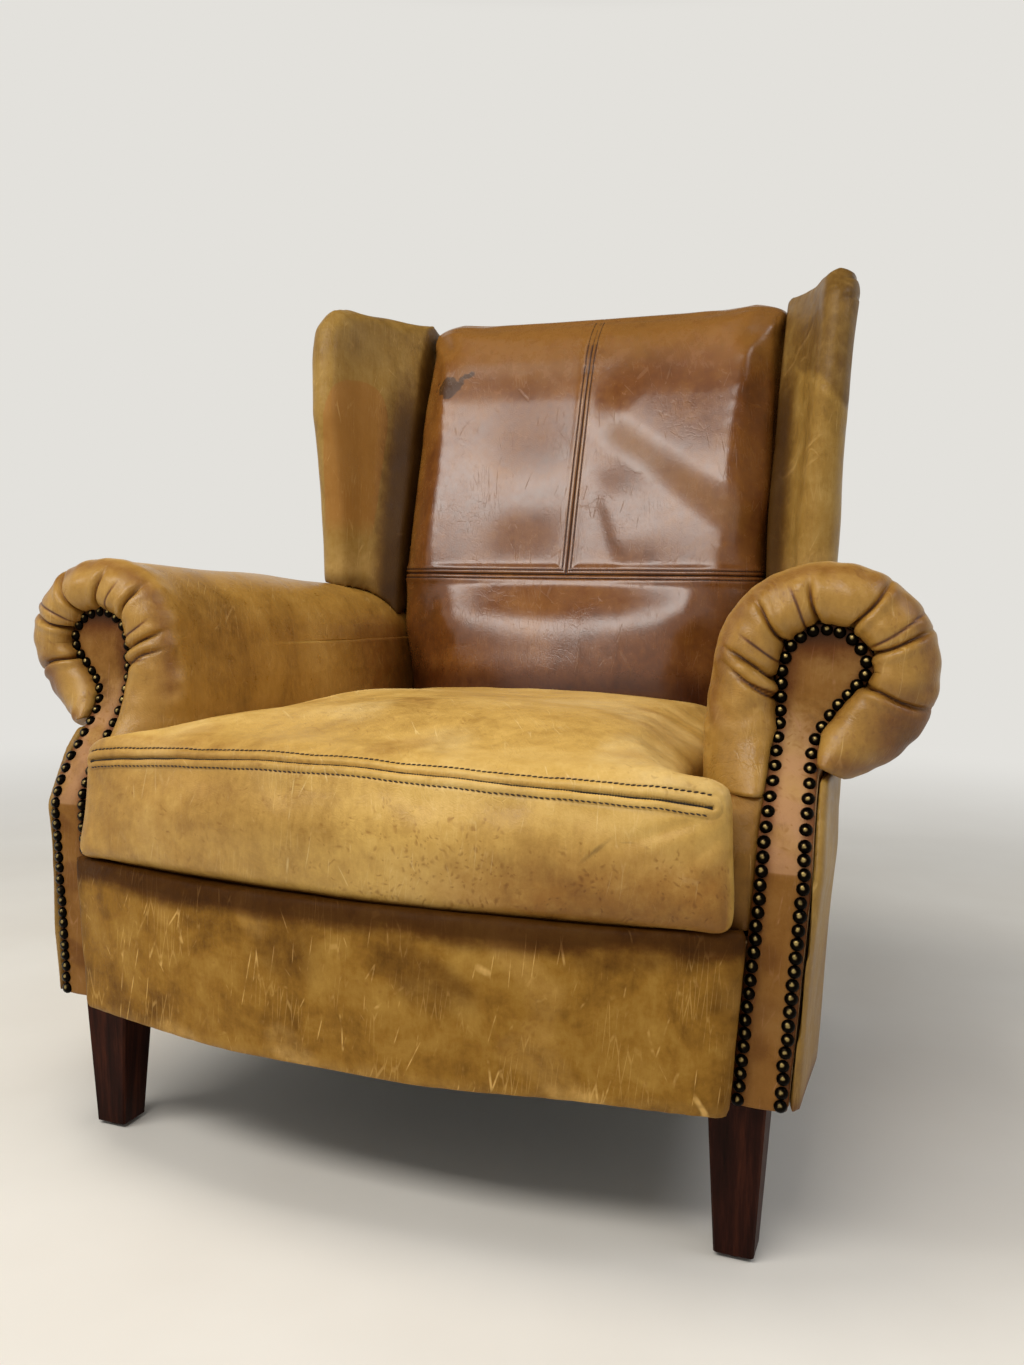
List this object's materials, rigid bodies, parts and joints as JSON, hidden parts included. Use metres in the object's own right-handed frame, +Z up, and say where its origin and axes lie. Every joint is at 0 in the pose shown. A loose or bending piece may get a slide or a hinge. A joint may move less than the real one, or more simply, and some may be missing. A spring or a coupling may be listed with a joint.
{
  "type": "club chair",
  "caption": "Worn leather club chair with winged back, rolled pleated arms, nail-trimmed arm fronts and one loose-looking seat cushion.",
  "frame": {"origin": "centre of the chair's footprint at the height of the floor", "axes": "+Z up; the front of the chair faces -Y; left and right are as seen from the front"},
  "size_m": [0.954, 0.8352, 0.985],
  "materials": {
    "tan_leather": "worn semi-gloss",
    "brown_leather": "polished, glossy with use",
    "dark_stained_wood": "dark mahogany stain, worn lacquer",
    "beech": "sawn, unfinished",
    "jute_webbing": "woven",
    "hessian": "woven, padded",
    "black_cambric": "thin matt cloth",
    "antique_brass": "darkened, worn bright on the domes",
    "zinc_plated_steel": "zinc plated",
    "brown_nylon": "matt"
  },
  "bodies": {
    "root": {"foot_front_left": "dark_stained_wood", "foot_front_right": "dark_stained_wood", "foot_rear_left": "dark_stained_wood", "foot_rear_right": "dark_stained_wood", "glide_front_left": "brown_nylon", "glide_front_right": "brown_nylon", "glide_rear_left": "brown_nylon", "glide_rear_right": "brown_nylon", "hanger_bolt_front_left": "zinc_plated_steel", "hanger_bolt_front_right": "zinc_plated_steel", "hanger_bolt_rear_left": "zinc_plated_steel", "hanger_bolt_rear_right": "zinc_plated_steel", "front_post_left": "beech", "front_post_right": "beech", "back_post_left": "beech", "back_post_right": "beech", "side_rail_left": "beech", "side_rail_right": "beech", "front_rail": "beech", "rear_rail": "beech", "top_rail": "beech", "lumbar_rail": "beech", "corner_block_front_left": "beech", "corner_block_front_right": "beech", "corner_block_rear_left": "beech", "corner_block_rear_right": "beech", "arm_rail_left": "beech", "arm_rail_right": "beech", "wing_board_left": "beech", "wing_board_right": "beech", "seat_web_1": "jute_webbing", "seat_web_2": "jute_webbing", "seat_web_3": "jute_webbing", "seat_web_4": "jute_webbing", "seat_cross_web_1": "jute_webbing", "seat_cross_web_2": "jute_webbing", "seat_cross_web_3": "jute_webbing", "back_web_1": "jute_webbing", "back_web_2": "jute_webbing", "back_web_3": "jute_webbing", "seat_deck": "hessian", "dust_cover": "black_cambric", "front_border": "tan_leather", "seat_cushion": "tan_leather", "inside_back": "brown_leather", "outside_back": "tan_leather", "inside_arm_left": "tan_leather", "inside_arm_right": "tan_leather", "outside_arm_left": "tan_leather", "outside_arm_right": "tan_leather", "arm_facing_left": "tan_leather", "arm_facing_right": "tan_leather", "arm_front_patch_left": "tan_leather", "arm_front_patch_right": "tan_leather", "nail_trim_left": "antique_brass", "nail_trim_right": "antique_brass", "wing_pad_left": "tan_leather", "wing_pad_right": "tan_leather", "outside_wing_left": "tan_leather", "outside_wing_right": "tan_leather"}
  },
  "joints": []
}
